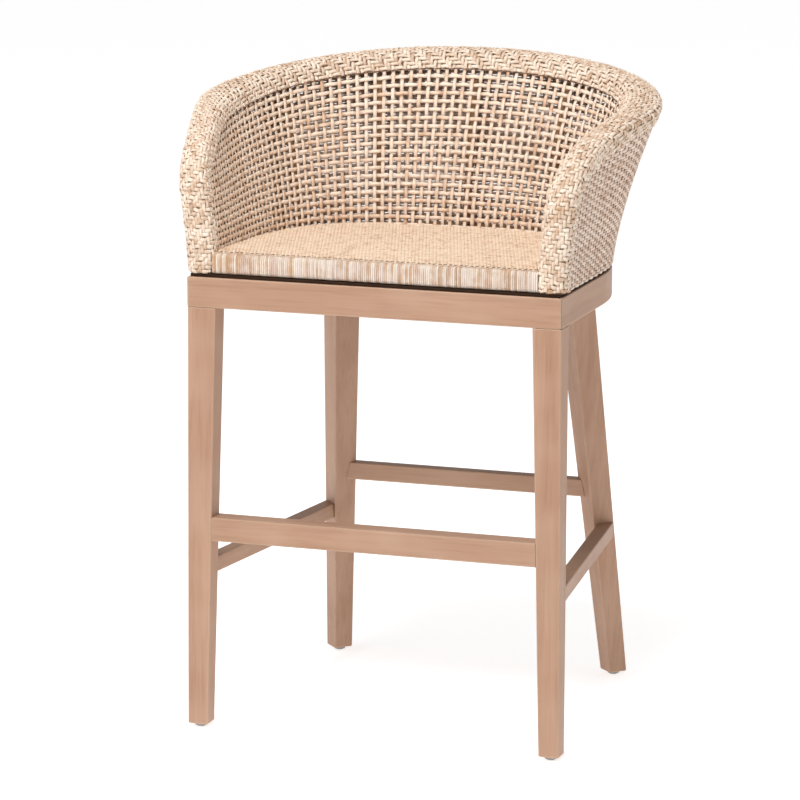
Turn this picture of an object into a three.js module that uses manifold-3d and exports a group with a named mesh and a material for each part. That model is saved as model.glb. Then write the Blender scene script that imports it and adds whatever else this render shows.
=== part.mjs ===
// Bar stool with a footrest: a painted-look hardwood base and a double-walled woven tub seat.
// Millimetres, +Z up, the front faces -Y and the origin is on the floor under the middle.
import * as THREE from "three";
import { mergeVertices } from "three/addons/utils/BufferGeometryUtils.js";
import Module from "manifold-3d";

const wasm = await Module();
wasm.setup();

// ---------------------------------------------------------------- sizes
const GAP = 0.3; // between pieces that touch

// the base's plan: straight sides that run into a bowed back
const BASE_HALF = 295;
const BASE_STRAIGHT = 210;
const BASE_BOW = 284;
const BASE_POWER = 2.25;

// heights
const SEAT_HEIGHT = 740;
const SEAT_FRAME_HEIGHT = 32;
const REVEAL = 5; // the dark line between the tub and the apron
const APRON_HEIGHT = 46;
const GLIDE_HEIGHT = 6;

// apron, blocks and board
const APRON_THICK = 20;
const APRON_EDGE = 1.6;
const BLOCK_REACH = 62;
const BOARD_THICK = 12;
const BOARD_RECESS = 4; // from the apron's face to the lip that lies on the apron
const REAR_JOINT = 0.42; // where the side rails meet the rear rail, as a share of the half outline

// front legs, square to the front
const FRONT_LEG_TOP_WIDE = 45;
const FRONT_LEG_TOP_DEEP = 39;
const FRONT_LEG_FOOT_WIDE = 32;
const FRONT_LEG_FOOT_DEEP = 30;
const FRONT_LEG_OUT = 3;
const FRONT_LEG_FORWARD = 8;

// rear legs, set on the diagonal and splayed
const REAR_LEG_TOP = 45;
const REAR_LEG_FOOT = 31.5;
const REAR_LEG_FROM_SIDE = 102; // from the base's side and back to the top's middle
const REAR_LEG_FROM_BACK = 89;
const REAR_LEG_OUT = 42;
const REAR_LEG_BACK = 100;
const LEG_EDGE = 2;

// rails between the legs
const FOOTREST_TOP = 333;
const FOOTREST_HEIGHT = 37;
const FOOTREST_DEEP = 34;
const SIDE_RAIL_TOP = 260;
const SIDE_RAIL_HEIGHT = 24;
const SIDE_RAIL_WIDE = 24;
const REAR_RAIL_TOP = 330;
const REAR_RAIL_HEIGHT = 28;
const REAR_RAIL_WIDE = 22;
const RAIL_EDGE = 2;
const TENON_SHARE = 0.5; // of a rail's section
const TENON_END = 4; // how far a tenon stops short of the leg's middle
const TENON_CLEAR = 0.3;

// fasteners
const BOLT_R = 3;
const BOLT_HEAD_R = 6.5;
const BOLT_HEAD = 4;
const BOLT_IN_LEG = 38;
const SCREW_R = 2.2;
const SCREW_HEAD_R = 4.5;
const SCREW_HEAD = 2.6;
const SCREW_IN_HOOP = 9;
const HOLE_CLEAR = 0.3;
const GLIDE_R = 10.5;
const GLIDE_PIN_R = 1.6;
const GLIDE_PIN = 14;

// tub: outer and inner outlines at the seat and at the rim
const TUB_FRONT = 5;
const RIM_FLARE = 74; // the rim stands out this far at the sides and the back
const RIM_FLARE_BACK = 47;
const RIM_POWER = 2.3;
const WALL_FOOT = 37; // the wall's thickness at the seat, at the sides and the back
const WALL_FOOT_BACK = 89;
const SEAT_STRAIGHT_CUT = 105; // the seat starts to bow this much nearer the front
const SEAT_POWER = 3.2;
const RIM_WALL = 65; // the wall's thickness at the rim, at the sides and the back
const RIM_WALL_BACK = 54;
const RIM_IN_STRAIGHT_CUT = 10;
const RIM_IN_POWER = 2.7;
const ARM_FLARE = 0.38; // share of the flare that the arm fronts have
const ARM_FLARE_IN = 0.5;
const FLARE_CURVE = 1.35;
const FLARE_CURVE_IN = 1.2;

// rim line
const ARM_CORNER = 122; // from the tub's base to where the arm front starts to bend back
const ARM_BEND_RISE = 108;
const ARM_BEND_RUN = 200;
const BACK_RISE = 62;

// skins, band and frame inside the tub
const SKIN = 5;
const BAND_DEEP = 28;
const BAND_WALL = 5.5;
const BAND_PROUD = 1.2;
const SKIN_CLEAR = 1.5; // between a skin's edge and the band
const RIM_POLE_R = 9;
const POST_R = 7;
const POST_LIFT = 2; // a post leans, so its foot clears the hoop by this much
const POST_PLACES = [0.07, 0.3, 0.52, 0.76, 1];
const HOOP_HEIGHT = 20;
const HOOP_FROM = 0.27; // the base hoop's faces, as shares of the wall's thickness
const HOOP_TO = 0.73;

// seat inside the tub
const SEAT_DIP = 8; // the seat is this much lower at the back
const SEAT_CLEAR = 3; // round the seat, inside the woven wall
const WEAVE_THICK = 4;
const PANEL_THICK = 12;
const SEAT_HOOP_WIDE = 34;
const WRAP_DEEP = 32;
const WRAP_THICK = 2.6;
const WRAP_EDGE = 6;

// ---------------------------------------------------------------- derived sizes
const BASE_BACK = BASE_STRAIGHT + BASE_BOW;
const REAR_LEG_TOP_X = BASE_HALF - REAR_LEG_FROM_SIDE;
const REAR_LEG_TOP_Y = BASE_BACK - REAR_LEG_FROM_BACK;
const RIM_HALF = BASE_HALF + RIM_FLARE;
const RIM_STRAIGHT = BASE_STRAIGHT;
const RIM_BOW = BASE_BOW + RIM_FLARE_BACK;
const SEAT_HALF = BASE_HALF - WALL_FOOT;
const SEAT_STRAIGHT = BASE_STRAIGHT - SEAT_STRAIGHT_CUT;
const SEAT_BOW = BASE_BACK - WALL_FOOT_BACK - SEAT_STRAIGHT;
const RIM_IN_HALF = RIM_HALF - RIM_WALL;
const RIM_IN_STRAIGHT = BASE_STRAIGHT - RIM_IN_STRAIGHT_CUT;
const RIM_IN_BOW = RIM_STRAIGHT + RIM_BOW - RIM_WALL_BACK - RIM_IN_STRAIGHT;
const TUB_BASE = SEAT_HEIGHT - SEAT_FRAME_HEIGHT;
const APRON_TOP = TUB_BASE - REVEAL;
const APRON_BOTTOM = APRON_TOP - APRON_HEIGHT;
const LEG_TOP = APRON_BOTTOM - GAP;
const LEG_LENGTH = LEG_TOP - GLIDE_HEIGHT;
const BOARD_TOP = TUB_BASE - GAP;
const BOARD_BOTTOM = BOARD_TOP - BOARD_THICK;

// ---------------------------------------------------------------- materials
const paint = (color, roughness, metalness = 0) =>
  new THREE.MeshStandardMaterial({ color, roughness, metalness });
const wood = () => paint(0xc8a184, 0.55);
const darkBoard = () => paint(0x3a2418, 0.8);
const steel = () => paint(0x8f9093, 0.4, 0.9);
const glideGrey = () => paint(0x86827c, 0.5);
const rattan = () => paint(0xdebd9c, 0.65);
const pole = () => paint(0xb98d62, 0.6);

// ---------------------------------------------------------------- solids
const stool = new THREE.Group();
stool.name = "bar_stool";

function add(name, geometry, material) {
  const mesh = new THREE.Mesh(geometry, material);
  mesh.name = name;
  stool.add(mesh);
  return mesh;
}

function solid(geometry) {
  const bare = geometry.clone();
  bare.deleteAttribute("normal");
  bare.deleteAttribute("uv");
  const merged = mergeVertices(bare, 1e-4);
  return new wasm.Manifold(
    new wasm.Mesh({
      numProp: 3,
      vertProperties: merged.attributes.position.array,
      triVerts: new Uint32Array(merged.index.array),
    }),
  );
}

function geometryOf(manifold) {
  const mesh = manifold.getMesh();
  const geometry = new THREE.BufferGeometry();
  geometry.setAttribute("position", new THREE.BufferAttribute(mesh.vertProperties, 3));
  geometry.setIndex(new THREE.BufferAttribute(mesh.triVerts, 1));
  return geometry;
}

// A closed body through rings of points. Every ring has the same count, and flat holds the
// section in two dimensions for the end caps. Rings run so that the body faces out.
function loft(rings, flat) {
  const count = rings[0].length;
  const positions = [];
  const index = [];
  for (const ring of rings) {
    for (const p of ring) {
      positions.push(p[0], p[1], p[2]);
    }
  }
  for (let i = 0; i < rings.length - 1; i += 1) {
    for (let j = 0; j < count; j += 1) {
      const a = i * count + j;
      const b = i * count + ((j + 1) % count);
      index.push(a, b, b + count, a, b + count, a + count);
    }
  }
  const contour = flat.map(([x, y]) => new THREE.Vector2(x, y));
  const last = (rings.length - 1) * count;
  for (const [a, b, c] of THREE.ShapeUtils.triangulateShape(contour, [])) {
    index.push(c, b, a);
    index.push(last + a, last + b, last + c);
  }
  const geometry = new THREE.BufferGeometry();
  geometry.setAttribute("position", new THREE.Float32BufferAttribute(positions, 3));
  geometry.setIndex(index);
  return geometry;
}

// Turns a loft the right way round if its rings ran the other way.
function facingOut(geometry) {
  const position = geometry.getAttribute("position");
  const index = geometry.getIndex();
  const a = new THREE.Vector3();
  const b = new THREE.Vector3();
  const c = new THREE.Vector3();
  let volume = 0;
  for (let i = 0; i < index.count; i += 3) {
    a.fromBufferAttribute(position, index.getX(i));
    b.fromBufferAttribute(position, index.getX(i + 1));
    c.fromBufferAttribute(position, index.getX(i + 2));
    volume += a.dot(b.cross(c));
  }
  if (volume < 0) {
    const flipped = [];
    for (let i = 0; i < index.count; i += 3) {
      flipped.push(index.getX(i), index.getX(i + 2), index.getX(i + 1));
    }
    geometry.setIndex(flipped);
  }
  return geometry;
}

// A rectangle with rounded corners, counter-clockwise, about its own middle.
function roundedRect(wide, high, radius, steps = 3) {
  const points = [];
  const corners = [[1, 1, 0], [-1, 1, 1], [-1, -1, 2], [1, -1, 3]];
  for (const [sx, sy, turn] of corners) {
    for (let k = 0; k <= steps; k += 1) {
      const angle = ((turn + k / steps) * Math.PI) / 2;
      const x = sx * (wide / 2 - radius) + radius * Math.cos(angle);
      const y = sy * (high / 2 - radius) + radius * Math.sin(angle);
      points.push([x, y]);
    }
  }
  return points;
}

// A straight bar of a rounded rectangle from point a to point b; wide is across, high is up.
function bar(a, b, wide, high, radius, steps = 3) {
  const from = new THREE.Vector3(...a);
  const to = new THREE.Vector3(...b);
  const along = to.clone().sub(from).normalize();
  const across = new THREE.Vector3(0, 0, 1).cross(along).normalize();
  const up = along.clone().cross(across);
  const flat = roundedRect(wide, high, radius, steps);
  const ring = (centre) =>
    flat.map(([s, t]) => {
      const p = centre.clone().addScaledVector(across, s).addScaledVector(up, t);
      return [p.x, p.y, p.z];
    });
  return facingOut(loft([ring(from), ring(to)], flat));
}

function cylinder(x, y, low, high, radius, sides = 24) {
  const geometry = new THREE.CylinderGeometry(radius, radius, high - low, sides);
  geometry.rotateX(Math.PI / 2);
  geometry.translate(x, y, (low + high) / 2);
  return geometry;
}

const mix = (a, b, t) => a + (b - a) * t;
const mixPoint = (p, q, t) => p.map((v, i) => mix(v, q[i], t));
const clamp01 = (t) => Math.min(1, Math.max(0, t));
const smooth = (t) => clamp01(t) ** 2 * (3 - 2 * clamp01(t));

// ---------------------------------------------------------------- outlines
// The outline of a U in plan. at(f) runs from the left front end (-1) by the middle of the
// back (0) to the right front end (1), evenly along the curve.
function outline(half, straight, bow, power, front) {
  const points = [[half, front]];
  const steps = 360;
  for (let k = 0; k <= steps; k += 1) {
    const angle = ((k / steps) * Math.PI) / 2;
    const x = half * Math.cos(angle) ** (2 / power);
    const y = straight + bow * Math.sin(angle) ** (2 / power);
    points.push([Math.abs(x) < 1e-9 ? 0 : x, y]);
  }
  const lengths = [0];
  for (let k = 1; k < points.length; k += 1) {
    const step = Math.hypot(points[k][0] - points[k - 1][0], points[k][1] - points[k - 1][1]);
    lengths.push(lengths[k - 1] + step);
  }
  const total = lengths[lengths.length - 1];
  const at = (f) => {
    const want = (1 - Math.abs(f)) * total;
    let k = 1;
    while (k < lengths.length - 1 && lengths[k] < want) {
      k += 1;
    }
    const t = (want - lengths[k - 1]) / (lengths[k] - lengths[k - 1]);
    const [x, y] = mixPoint(points[k - 1], points[k], clamp01(t));
    return [f < 0 ? -x : x, y];
  };
  // the outline moved inwards by a distance
  const inset = (f, distance) => {
    const h = 2e-3;
    const g = Math.min(1 - h, Math.max(-1 + h, f));
    const [x0, y0] = at(g - h);
    const [x1, y1] = at(g + h);
    const length = Math.hypot(x1 - x0, y1 - y0);
    const [x, y] = at(f);
    return [x + (distance * (y1 - y0)) / length, y - (distance * (x1 - x0)) / length];
  };
  return { at, inset, total };
}

const baseLine = outline(BASE_HALF, BASE_STRAIGHT, BASE_BOW, BASE_POWER, 0);
const tubLine = outline(BASE_HALF, BASE_STRAIGHT, BASE_BOW, BASE_POWER, TUB_FRONT);
const rimLine = outline(RIM_HALF, RIM_STRAIGHT, RIM_BOW, RIM_POWER, TUB_FRONT);
const seatLine = outline(SEAT_HALF, SEAT_STRAIGHT, SEAT_BOW, SEAT_POWER, TUB_FRONT);
const rimInLine = outline(RIM_IN_HALF, RIM_IN_STRAIGHT, RIM_IN_BOW, RIM_IN_POWER, TUB_FRONT);

// Leaves out the points that lie on a straight line between their neighbours.
function bendsOnly(points) {
  return points.filter(([x, y], k) => {
    const [px, py] = points[(k + points.length - 1) % points.length];
    const [nx, ny] = points[(k + 1) % points.length];
    return Math.abs((x - px) * (ny - y) - (y - py) * (nx - x)) > 1e-3;
  });
}

// A flat plate from a counter-clockwise list of plan points, with softened edges if asked.
function plate(points, low, high, edge = 0) {
  const shape = new THREE.Shape(bendsOnly(points).map(([x, y]) => new THREE.Vector2(x, y)));
  const geometry = new THREE.ExtrudeGeometry(shape, {
    depth: high - low - 2 * edge,
    bevelEnabled: edge > 0,
    bevelThickness: edge,
    bevelSize: edge,
    bevelOffset: -edge,
    bevelSegments: 2,
    steps: 1,
  });
  geometry.translate(0, 0, low + edge);
  return geometry;
}

const range = (from, to, steps) =>
  Array.from({ length: steps + 1 }, (_, k) => mix(from, to, k / steps));

// ---------------------------------------------------------------- legs
function frontLegRing(side, z, grow) {
  const t = (LEG_TOP - z) / LEG_LENGTH;
  const wide = mix(FRONT_LEG_TOP_WIDE, FRONT_LEG_FOOT_WIDE, t);
  const deep = mix(FRONT_LEG_TOP_DEEP, FRONT_LEG_FOOT_DEEP, t);
  const outer = BASE_HALF + FRONT_LEG_OUT * t;
  const front = -FRONT_LEG_FORWARD * t;
  return { x: side * (outer - wide / 2), y: front + deep / 2, wide, deep, turn: 0, grow };
}

function rearLegRing(side, z, grow) {
  const t = (LEG_TOP - z) / LEG_LENGTH;
  const size = mix(REAR_LEG_TOP, REAR_LEG_FOOT, t);
  const x = side * (REAR_LEG_TOP_X + REAR_LEG_OUT * t);
  const y = REAR_LEG_TOP_Y + REAR_LEG_BACK * t;
  return { x, y, wide: size, deep: size, turn: Math.PI / 4, grow };
}

// A leg as a loft between its top and its foot, with softened long edges.
function leg(ringAt, side, grow = 0) {
  const soft = grow > 0 ? 0 : 1.2;
  const top = LEG_TOP + (grow > 0 ? 40 : 0);
  const flat = roundedRect(1, 1, 0.05);
  const levels = [
    [GLIDE_HEIGHT, soft],
    [GLIDE_HEIGHT + soft, 0],
    [top, 0],
  ].filter((level, k) => k !== 1 || soft > 0);
  const rings = levels.map(([z, inset]) => {
    const r = ringAt(side, z, grow);
    const wide = r.wide + 2 * grow - 2 * inset;
    const deep = r.deep + 2 * grow - 2 * inset;
    return roundedRect(wide, deep, LEG_EDGE).map(([s, t]) => {
      const x = r.x + s * Math.cos(r.turn) - t * Math.sin(r.turn);
      const y = r.y + s * Math.sin(r.turn) + t * Math.cos(r.turn);
      return [x, y, z];
    });
  });
  return facingOut(loft(rings, flat));
}

const legs = {};
for (const [end, ringAt] of [["front", frontLegRing], ["rear", rearLegRing]]) {
  for (const [word, side] of [["left", -1], ["right", 1]]) {
    legs[`leg_${end}_${word}`] = {
      ringAt,
      side,
      body: solid(leg(ringAt, side)),
      grown: solid(leg(ringAt, side, GAP)),
    };
  }
}

// ---------------------------------------------------------------- rails between the legs
// Cutting a rail to the legs can leave an offcut past a leg's corner, which is dropped.
function largest(manifold) {
  const pieces = manifold.decompose();
  return pieces.sort((a, b) => b.volume() - a.volume())[0];
}

// A rail runs between two leg middles; the legs are cut away from it, then tenons are added.
function rail(name, from, to, a, b, wide, high) {
  const cut = solid(bar(a, b, wide, high, RAIL_EDGE))
    .subtract(legs[from].grown)
    .subtract(legs[to].grown);
  const body = largest(cut);
  const start = new THREE.Vector3(...a);
  const end = new THREE.Vector3(...b);
  const along = end.clone().sub(start).normalize();
  const first = start.clone().addScaledVector(along, TENON_END).toArray();
  const second = end.clone().addScaledVector(along, -TENON_END).toArray();
  const tenonWide = wide * TENON_SHARE;
  const tenonHigh = high * (TENON_SHARE + 0.15);
  const tenon = solid(bar(first, second, tenonWide, tenonHigh, 1));
  add(name, geometryOf(body.add(tenon)), wood());
  const before = start.clone().addScaledVector(along, TENON_END - 1).toArray();
  const after = end.clone().addScaledVector(along, 1 - TENON_END).toArray();
  const clear = 2 * TENON_CLEAR;
  const mortise = solid(bar(before, after, tenonWide + clear, tenonHigh + clear, 1));
  legs[from].body = legs[from].body.subtract(mortise);
  legs[to].body = legs[to].body.subtract(mortise);
}

{
  const z = FOOTREST_TOP - FOOTREST_HEIGHT / 2;
  const ring = frontLegRing(1, z, 0);
  const y = ring.y - ring.deep / 2 + 0.8 + FOOTREST_DEEP / 2;
  rail("footrest_rail", "leg_front_left", "leg_front_right",
    [-ring.x, y, z], [ring.x, y, z], FOOTREST_DEEP, FOOTREST_HEIGHT);
}

for (const [word, side] of [["left", -1], ["right", 1]]) {
  const z = SIDE_RAIL_TOP - SIDE_RAIL_HEIGHT / 2;
  const front = frontLegRing(side, z, 0);
  const rear = rearLegRing(side, z, 0);
  const reach = rear.wide / Math.SQRT2;
  // the outer face runs from the front leg's outer face to the rear leg's outer edge
  const outerFront = [side * (Math.abs(front.x) + front.wide / 2 - 1), front.y];
  const outerRear = [side * (Math.abs(rear.x) + reach - 1.5), rear.y];
  const dx = outerRear[0] - outerFront[0];
  const dy = outerRear[1] - outerFront[1];
  const length = Math.hypot(dx, dy);
  const inX = (-side * dy * SIDE_RAIL_WIDE) / 2 / length;
  const inY = (side * dx * SIDE_RAIL_WIDE) / 2 / length;
  rail(`stretcher_${word}`, `leg_front_${word}`, `leg_rear_${word}`,
    [outerFront[0] + inX, outerFront[1] + inY, z],
    [outerRear[0] + inX, outerRear[1] + inY, z],
    SIDE_RAIL_WIDE, SIDE_RAIL_HEIGHT);
}

{
  const z = REAR_RAIL_TOP - REAR_RAIL_HEIGHT / 2;
  const ring = rearLegRing(1, z, 0);
  rail("stretcher_rear", "leg_rear_left", "leg_rear_right",
    [-ring.x, ring.y, z], [ring.x, ring.y, z], REAR_RAIL_WIDE, REAR_RAIL_HEIGHT);
}

// ---------------------------------------------------------------- apron
// The front rail is mitred to the side rails, which are bent round to the rear legs.
{
  const cornerIn = [BASE_HALF - APRON_THICK, APRON_THICK];
  const shift = GAP / 2 / Math.SQRT2;
  const front = [
    [-BASE_HALF + shift * 2, 0],
    [BASE_HALF - shift * 2, 0],
    [cornerIn[0] - shift, cornerIn[1] - shift],
    [-cornerIn[0] + shift, cornerIn[1] - shift],
  ];
  add("apron_front", plate(front, APRON_BOTTOM, APRON_TOP, APRON_EDGE), wood());
}

const jointGap = GAP / 2 / baseLine.total;
for (const [word, side] of [["left", -1], ["right", 1]]) {
  const startShare = 1 - (APRON_THICK + 6) / baseLine.total;
  const stops = range(startShare, REAR_JOINT + jointGap, 22);
  const shift = GAP / 2 / Math.SQRT2;
  const outside = [
    [BASE_HALF, shift * 2],
    ...stops.map((f) => baseLine.at(f)),
  ];
  const inside = [
    [BASE_HALF - APRON_THICK + shift, APRON_THICK + shift],
    ...stops.map((f) => baseLine.inset(f, APRON_THICK)),
  ];
  const points = [...outside, ...inside.reverse()];
  const placed = points.map(([x, y]) => [side * x, y]);
  const ring = side > 0 ? placed : placed.reverse();
  add(`apron_${word}`, plate(ring, APRON_BOTTOM, APRON_TOP, APRON_EDGE), wood());
}

{
  const stops = range(REAR_JOINT - jointGap, -REAR_JOINT + jointGap, 34);
  const outside = stops.map((f) => baseLine.at(f));
  const inside = stops.map((f) => baseLine.inset(f, APRON_THICK)).reverse();
  add("apron_rear", plate([...outside, ...inside], APRON_BOTTOM, APRON_TOP, APRON_EDGE), wood());
}

// ---------------------------------------------------------------- corner blocks and leg bolts
const boltPlaces = {};
const blockTop = BOARD_BOTTOM - GAP;
for (const [word, side] of [["left", -1], ["right", 1]]) {
  const near = BASE_HALF - APRON_THICK - GAP;
  const far = near - BLOCK_REACH;
  const low = APRON_THICK + GAP;
  const cut = 22;
  const points = [
    [near, low],
    [near, low + BLOCK_REACH],
    [near - cut, low + BLOCK_REACH],
    [far, low + cut],
    [far, low],
  ].map(([x, y]) => [side * x, y]);
  const ring = side > 0 ? points : points.reverse();
  const bolt = [
    side * (near - (FRONT_LEG_TOP_WIDE - APRON_THICK) / 2),
    low + (FRONT_LEG_TOP_DEEP - APRON_THICK) / 2,
  ];
  boltPlaces[`front_${word}`] = bolt;
  const hole = solid(cylinder(...bolt, APRON_BOTTOM - 5, blockTop + 5, BOLT_R + HOLE_CLEAR));
  const block = solid(plate(ring, APRON_BOTTOM, blockTop)).subtract(hole);
  add(`corner_block_front_${word}`, geometryOf(block), wood());
}

for (const [word, side] of [["left", -1], ["right", 1]]) {
  const spread = BLOCK_REACH / 2 / baseLine.total;
  const stops = range(REAR_JOINT + 1.5 * spread, REAR_JOINT - 1.5 * spread, 8);
  const outside = stops.map((f) => baseLine.inset(f, APRON_THICK + GAP));
  const first = outside[0];
  const final = outside[outside.length - 1];
  const middle = outside[4];
  const inward = 1 / Math.SQRT2;
  const deep = BLOCK_REACH * 0.72;
  const points = [
    ...outside,
    mixPoint(final, [middle[0] - deep * inward * 1.3, middle[1] - deep * inward * 1.3], 0.8),
    mixPoint(first, [middle[0] - deep * inward * 1.3, middle[1] - deep * inward * 1.3], 0.8),
  ].map(([x, y]) => [side * x, y]);
  const ring = side > 0 ? points : points.reverse();
  const back = (REAR_LEG_TOP / 2 - APRON_THICK / 2 - 3) * inward;
  const bolt = [side * (REAR_LEG_TOP_X - back), REAR_LEG_TOP_Y - back];
  boltPlaces[`rear_${word}`] = bolt;
  const hole = solid(cylinder(...bolt, APRON_BOTTOM - 5, blockTop + 5, BOLT_R + HOLE_CLEAR));
  const block = solid(plate(ring, APRON_BOTTOM, blockTop)).subtract(hole);
  add(`corner_block_rear_${word}`, geometryOf(block), wood());
}

// ---------------------------------------------------------------- board under the tub
const boardStops = range(1 - (APRON_THICK + 12) / baseLine.total, 0, 26);
const boardHalf = boardStops.map((f) => baseLine.inset(f, APRON_THICK + 0.6));
const boardFront = APRON_THICK + 0.6;
const boardRight = [[boardHalf[0][0], boardFront], ...boardHalf];
const boardLeft = boardRight.slice(0, -1).reverse().map(([x, y]) => [-x, y]);
const lipHalf = boardStops.map((f) => baseLine.inset(f, BOARD_RECESS));
const lipRight = [[lipHalf[0][0], BOARD_RECESS], ...lipHalf];
const lipLeft = lipRight.slice(0, -1).reverse().map(([x, y]) => [-x, y]);
const lip = solid(plate([...lipRight, ...lipLeft], APRON_TOP + GAP, BOARD_TOP));
const core = solid(plate([...boardRight, ...boardLeft], BOARD_BOTTOM, BOARD_TOP));
let board = core.add(lip);

for (const [place, [x, y]] of Object.entries(boltPlaces)) {
  // the bolt's head lies in a pocket in the board's underside
  const head = blockTop + GAP + BOLT_HEAD;
  const shank = cylinder(x, y, LEG_TOP - BOLT_IN_LEG, blockTop + GAP + 1, BOLT_R, 20);
  const cap = cylinder(x, y, blockTop + GAP, head, BOLT_HEAD_R, 6);
  add(`leg_bolt_${place}`, geometryOf(solid(shank).add(solid(cap))), steel());
  const pocket = cylinder(x, y, BOARD_BOTTOM - 2, head + GAP, BOLT_HEAD_R + 1, 24);
  board = board.subtract(solid(pocket));
  const name = `leg_${place}`;
  const hole = cylinder(x, y, LEG_TOP - BOLT_IN_LEG - 1, LEG_TOP + 5, BOLT_R + HOLE_CLEAR, 20);
  legs[name].body = legs[name].body.subtract(solid(hole));
}

// ---------------------------------------------------------------- glides
for (const [name, { ringAt, side }] of Object.entries(legs)) {
  const { x, y } = ringAt(side, GLIDE_HEIGHT, 0);
  const rim = GLIDE_HEIGHT - GAP;
  const profile = [
    [0, 0],
    [GLIDE_R * 0.55, 0],
    [GLIDE_R * 0.85, rim * 0.3],
    [GLIDE_R, rim * 0.72],
    [GLIDE_R, rim],
    [GLIDE_PIN_R, rim],
    [GLIDE_PIN_R, rim + GLIDE_PIN - 3],
    [0, rim + GLIDE_PIN],
  ].map(([r, z]) => new THREE.Vector2(r, z));
  const geometry = new THREE.LatheGeometry(profile, 24);
  geometry.rotateX(Math.PI / 2);
  geometry.translate(x, y, 0);
  add(name.replace("leg", "glide"), geometry, glideGrey());
  const pinHole = cylinder(x, y, -1, rim + GLIDE_PIN + 1, GLIDE_PIN_R + HOLE_CLEAR, 20);
  legs[name].body = legs[name].body.subtract(solid(pinHole));
  add(name, geometryOf(legs[name].body), wood());
}

// ---------------------------------------------------------------- the tub's two faces
const HALF_RUN = tubLine.total;
const shareAt = (run, side) => side * (1 - run / HALF_RUN);

// the rim's height without the arms' bend, and the bend itself, by distance from the front
const crest = (run) => {
  const rise = (1 - Math.cos(Math.PI * clamp01(run / HALF_RUN))) / 2;
  return TUB_BASE + ARM_CORNER + ARM_BEND_RISE + BACK_RISE * rise;
};
const rimHeight = (run) => {
  const x = 1 - clamp01(run / ARM_BEND_RUN);
  return crest(run) - ARM_BEND_RISE * (1 - Math.sqrt(1 - x * x));
};

function outerFace(f, z) {
  const run = (1 - Math.abs(f)) * HALF_RUN;
  const t = Math.max(0, (z - TUB_BASE) / (crest(run) - TUB_BASE));
  const share = mix(ARM_FLARE, 1, smooth((run - 20) / 240));
  return [...mixPoint(tubLine.at(f), rimLine.at(f), share * t ** FLARE_CURVE), z];
}

function innerFace(f, z) {
  const run = (1 - Math.abs(f)) * HALF_RUN;
  const low = SEAT_HEIGHT - 5;
  const t = Math.max(0, (z - low) / (crest(run) - 26 - low));
  const share = mix(ARM_FLARE_IN, 1, smooth((run - 20) / 200));
  return [...mixPoint(seatLine.at(f), rimInLine.at(f), share * t ** FLARE_CURVE_IN), z];
}

// a point in the wall: depth 0 on the inner face, 1 on the outer face
const inWall = (f, z, depth) => mixPoint(innerFace(f, z), outerFace(f, z), depth);
const wallThick = (f, z) => {
  const a = innerFace(f, z);
  const b = outerFace(f, z);
  return Math.hypot(b[0] - a[0], b[1] - a[1]);
};

// ---------------------------------------------------------------- the edge line of the wall
// From the right arm's foot, up its front, round the bend and along the rim to the middle of
// the back: [distance from the front, height] and the direction into the wall.
function edgeLine(upSteps, bendSteps, backSteps) {
  const points = [];
  for (const z of range(TUB_BASE, TUB_BASE + ARM_CORNER, upSteps)) {
    points.push([0, z]);
  }
  for (const t of range(0, 1, bendSteps).slice(1)) {
    const run = ARM_BEND_RUN * (1 - Math.cos((t * Math.PI) / 2));
    points.push([run, rimHeight(run)]);
  }
  for (const run of range(ARM_BEND_RUN, HALF_RUN, backSteps).slice(1)) {
    points.push([run, rimHeight(run)]);
  }
  return points.map(([run, z], k) => {
    const before = points[Math.max(0, k - 1)];
    const after = points[Math.min(points.length - 1, k + 1)];
    let dr = after[0] - before[0];
    let dz = after[1] - before[1];
    if (run === 0 && z <= TUB_BASE + ARM_CORNER + 1e-6) {
      dr = 0;
      dz = 1;
    }
    if (k === points.length - 1) {
      dr = 1;
      dz = 0;
    }
    const length = Math.hypot(dr, dz);
    return { run, z, into: [dz / length, -dr / length] };
  });
}

// the same line all the way round, left foot to right foot, with a side for each point
function wholeEdge(upSteps, bendSteps, backSteps) {
  const right = edgeLine(upSteps, bendSteps, backSteps);
  const left = right.map((p) => ({ ...p, side: -1 }));
  const back = right.slice(0, -1).reverse().map((p) => ({ ...p, side: 1 }));
  return [...left, ...back];
}

const moved = (p, deep) => ({ run: p.run + deep * p.into[0], z: p.z + deep * p.into[1] });

// the height of the skins' upper edge at a distance from the front
const skinEdge = edgeLine(2, 40, 40).map((p) => moved(p, BAND_DEEP + SKIN_CLEAR));
function skinTop(run) {
  for (let k = 3; k < skinEdge.length; k += 1) {
    if (skinEdge[k].run >= run) {
      const a = skinEdge[k - 1];
      const b = skinEdge[k];
      return mix(a.z, b.z, clamp01((run - a.run) / Math.max(1e-6, b.run - a.run)));
    }
  }
  return skinEdge[skinEdge.length - 1].z;
}

// ---------------------------------------------------------------- woven skins
const skinRuns = [0, 5, 14, 28, 48, 74, 106, 142, 182, 232, 290, 350, 410, 470, 530, 590];

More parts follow.
